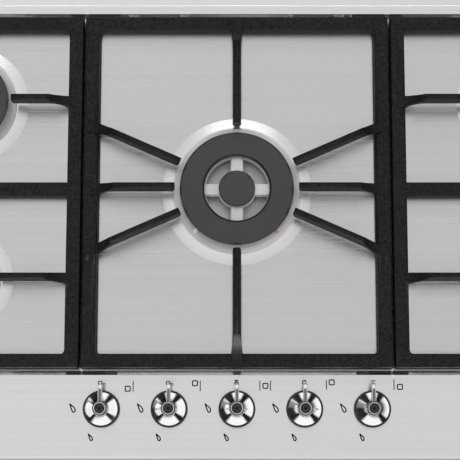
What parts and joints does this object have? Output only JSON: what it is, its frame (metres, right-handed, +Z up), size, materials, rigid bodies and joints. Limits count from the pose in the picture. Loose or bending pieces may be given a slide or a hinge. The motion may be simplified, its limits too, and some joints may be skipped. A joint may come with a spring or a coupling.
{
  "type": "gas cooktop",
  "caption": "Built-in gas cooktop: brushed steel plate with a sunken well, ring burners under cast grates, and push-and-turn knobs along the front.",
  "frame": {"origin": "middle of the plate's outline, on the worktop, which is the underside of the seal", "axes": "+X to the user's right, +Y to the back, +Z up"},
  "size_m": [0.9, 0.51, 0.092],
  "materials": {
    "brushed_steel": "fine brushed grain along X",
    "seal_rubber": "matt black",
    "galvanised": "galvanised sheet",
    "zinc_plate": "zinc plated",
    "steel_tube": "zinc plated tube",
    "brass": "machined",
    "ceramic": "glazed ceramic",
    "copper_sheath": "copper sheath",
    "black_plastic": "moulded",
    "white_plastic": "moulded",
    "lead_sleeve": "silicone sleeve",
    "aluminium": "die cast",
    "cast_aluminium": "blasted casting",
    "chrome": "polished",
    "steel_shaft": "drawn bar",
    "black_enamel": "satin black enamel",
    "cast_iron": "matt black enamelled casting",
    "foot_rubber": "matt black"
  },
  "bodies": {
    "hob": {"hob_top": "brushed_steel", "worktop_seal": "seal_rubber", "base_tray": "galvanised", "tray_nuts": "zinc_plate", "mounting_clamps": "zinc_plate", "clamp_screws": "zinc_plate", "gas_manifold": "steel_tube", "inlet_union": "brass", "feed_pipes": "aluminium", "injectors": "brass", "spark_electrodes": "ceramic", "thermocouples": "copper_sheath", "ignition_module": "black_plastic", "ignition_leads": "lead_sleeve", "ignition_switches": "black_plastic", "mains_terminal": "white_plastic", "knob_seals": "seal_rubber", "tap_bonnets": "aluminium", "burner_cup_left_front": "cast_aluminium", "burner_cup_left_rear": "cast_aluminium", "burner_cup_centre": "cast_aluminium", "burner_cup_right_rear": "cast_aluminium", "burner_cup_right_front": "cast_aluminium", "tap_body_left_front": "aluminium", "tap_body_left_rear": "aluminium", "tap_body_centre": "aluminium", "tap_body_right_rear": "aluminium", "tap_body_right_front": "aluminium"},
    "plug_left_front": {"tap_plug_left_front": "brass"},
    "knob_left_front": {"knob_left_front": "chrome", "spindle_left_front": "steel_shaft"},
    "plug_left_rear": {"tap_plug_left_rear": "brass"},
    "knob_left_rear": {"knob_left_rear": "chrome", "spindle_left_rear": "steel_shaft"},
    "plug_centre": {"tap_plug_centre": "brass"},
    "knob_centre": {"knob_centre": "chrome", "spindle_centre": "steel_shaft"},
    "plug_right_rear": {"tap_plug_right_rear": "brass"},
    "knob_right_rear": {"knob_right_rear": "chrome", "spindle_right_rear": "steel_shaft"},
    "plug_right_front": {"tap_plug_right_front": "brass"},
    "knob_right_front": {"knob_right_front": "chrome", "spindle_right_front": "steel_shaft"},
    "grate_left": {"grate_left": "cast_iron", "grate_feet_left": "foot_rubber"},
    "grate_centre": {"grate_centre": "cast_iron", "grate_feet_centre": "foot_rubber"},
    "grate_right": {"grate_right": "cast_iron", "grate_feet_right": "foot_rubber"},
    "crown_left_front": {"burner_crown_left_front": "cast_aluminium"},
    "cap_left_front": {"burner_cap_left_front": "black_enamel"},
    "crown_left_rear": {"burner_crown_left_rear": "cast_aluminium"},
    "cap_left_rear": {"burner_cap_left_rear": "black_enamel"},
    "crown_centre": {"burner_crown_centre": "cast_aluminium"},
    "cap_centre": {"burner_cap_centre": "black_enamel"},
    "crown_right_rear": {"burner_crown_right_rear": "cast_aluminium"},
    "cap_right_rear": {"burner_cap_right_rear": "black_enamel"},
    "crown_right_front": {"burner_crown_right_front": "cast_aluminium"},
    "cap_right_front": {"burner_cap_right_front": "black_enamel"},
    "wok_inner_cap": {"wok_inner_cap": "black_enamel"}
  },
  "joints": [
    {"name": "turn_left_front", "type": "hinge", "parent": "hob", "child": "plug_left_front", "pos_m": [-0.147, -0.2015, 0], "axis": [0, 0, 1], "range_deg": [0, 160]},
    {"name": "push_left_front", "type": "slide", "parent": "plug_left_front", "child": "knob_left_front", "axis": [0, 0, -1], "range_m": [0, 0.003], "stiffness_N_per_m": 1500, "springref_m": -0.004},
    {"name": "turn_left_rear", "type": "hinge", "parent": "hob", "child": "plug_left_rear", "pos_m": [-0.0735, -0.2015, 0], "axis": [0, 0, 1], "range_deg": [0, 160]},
    {"name": "push_left_rear", "type": "slide", "parent": "plug_left_rear", "child": "knob_left_rear", "axis": [0, 0, -1], "range_m": [0, 0.003], "stiffness_N_per_m": 1500, "springref_m": -0.004},
    {"name": "turn_centre", "type": "hinge", "parent": "hob", "child": "plug_centre", "pos_m": [0, -0.2015, 0], "axis": [0, 0, 1], "range_deg": [0, 160]},
    {"name": "push_centre", "type": "slide", "parent": "plug_centre", "child": "knob_centre", "axis": [0, 0, -1], "range_m": [0, 0.003], "stiffness_N_per_m": 1500, "springref_m": -0.004},
    {"name": "turn_right_rear", "type": "hinge", "parent": "hob", "child": "plug_right_rear", "pos_m": [0.0735, -0.2015, 0], "axis": [0, 0, 1], "range_deg": [0, 160]},
    {"name": "push_right_rear", "type": "slide", "parent": "plug_right_rear", "child": "knob_right_rear", "axis": [0, 0, -1], "range_m": [0, 0.003], "stiffness_N_per_m": 1500, "springref_m": -0.004},
    {"name": "turn_right_front", "type": "hinge", "parent": "hob", "child": "plug_right_front", "pos_m": [0.147, -0.2015, 0], "axis": [0, 0, 1], "range_deg": [0, 160]},
    {"name": "push_right_front", "type": "slide", "parent": "plug_right_front", "child": "knob_right_front", "axis": [0, 0, -1], "range_m": [0, 0.003], "stiffness_N_per_m": 1500, "springref_m": -0.004},
    {"name": "lift_grate_left", "type": "slide", "parent": "hob", "child": "grate_left", "axis": [0, 0, 1], "range_m": [0, 0.06]},
    {"name": "lift_grate_centre", "type": "slide", "parent": "hob", "child": "grate_centre", "axis": [0, 0, 1], "range_m": [0, 0.06]},
    {"name": "lift_grate_right", "type": "slide", "parent": "hob", "child": "grate_right", "axis": [0, 0, 1], "range_m": [0, 0.06]},
    {"name": "lift_crown_left_front", "type": "slide", "parent": "hob", "child": "crown_left_front", "axis": [0, 0, 1], "range_m": [0, 0.04]},
    {"name": "lift_cap_left_front", "type": "slide", "parent": "crown_left_front", "child": "cap_left_front", "axis": [0, 0, 1], "range_m": [0, 0.03]},
    {"name": "lift_crown_left_rear", "type": "slide", "parent": "hob", "child": "crown_left_rear", "axis": [0, 0, 1], "range_m": [0, 0.04]},
    {"name": "lift_cap_left_rear", "type": "slide", "parent": "crown_left_rear", "child": "cap_left_rear", "axis": [0, 0, 1], "range_m": [0, 0.03]},
    {"name": "lift_crown_centre", "type": "slide", "parent": "hob", "child": "crown_centre", "axis": [0, 0, 1], "range_m": [0, 0.04]},
    {"name": "lift_cap_centre", "type": "slide", "parent": "crown_centre", "child": "cap_centre", "axis": [0, 0, 1], "range_m": [0, 0.03]},
    {"name": "lift_crown_right_rear", "type": "slide", "parent": "hob", "child": "crown_right_rear", "axis": [0, 0, 1], "range_m": [0, 0.04]},
    {"name": "lift_cap_right_rear", "type": "slide", "parent": "crown_right_rear", "child": "cap_right_rear", "axis": [0, 0, 1], "range_m": [0, 0.03]},
    {"name": "lift_crown_right_front", "type": "slide", "parent": "hob", "child": "crown_right_front", "axis": [0, 0, 1], "range_m": [0, 0.04]},
    {"name": "lift_cap_right_front", "type": "slide", "parent": "crown_right_front", "child": "cap_right_front", "axis": [0, 0, 1], "range_m": [0, 0.03]},
    {"name": "lift_wok_inner_cap", "type": "slide", "parent": "crown_centre", "child": "wok_inner_cap", "axis": [0, 0, 1], "range_m": [0, 0.03]}
  ]
}
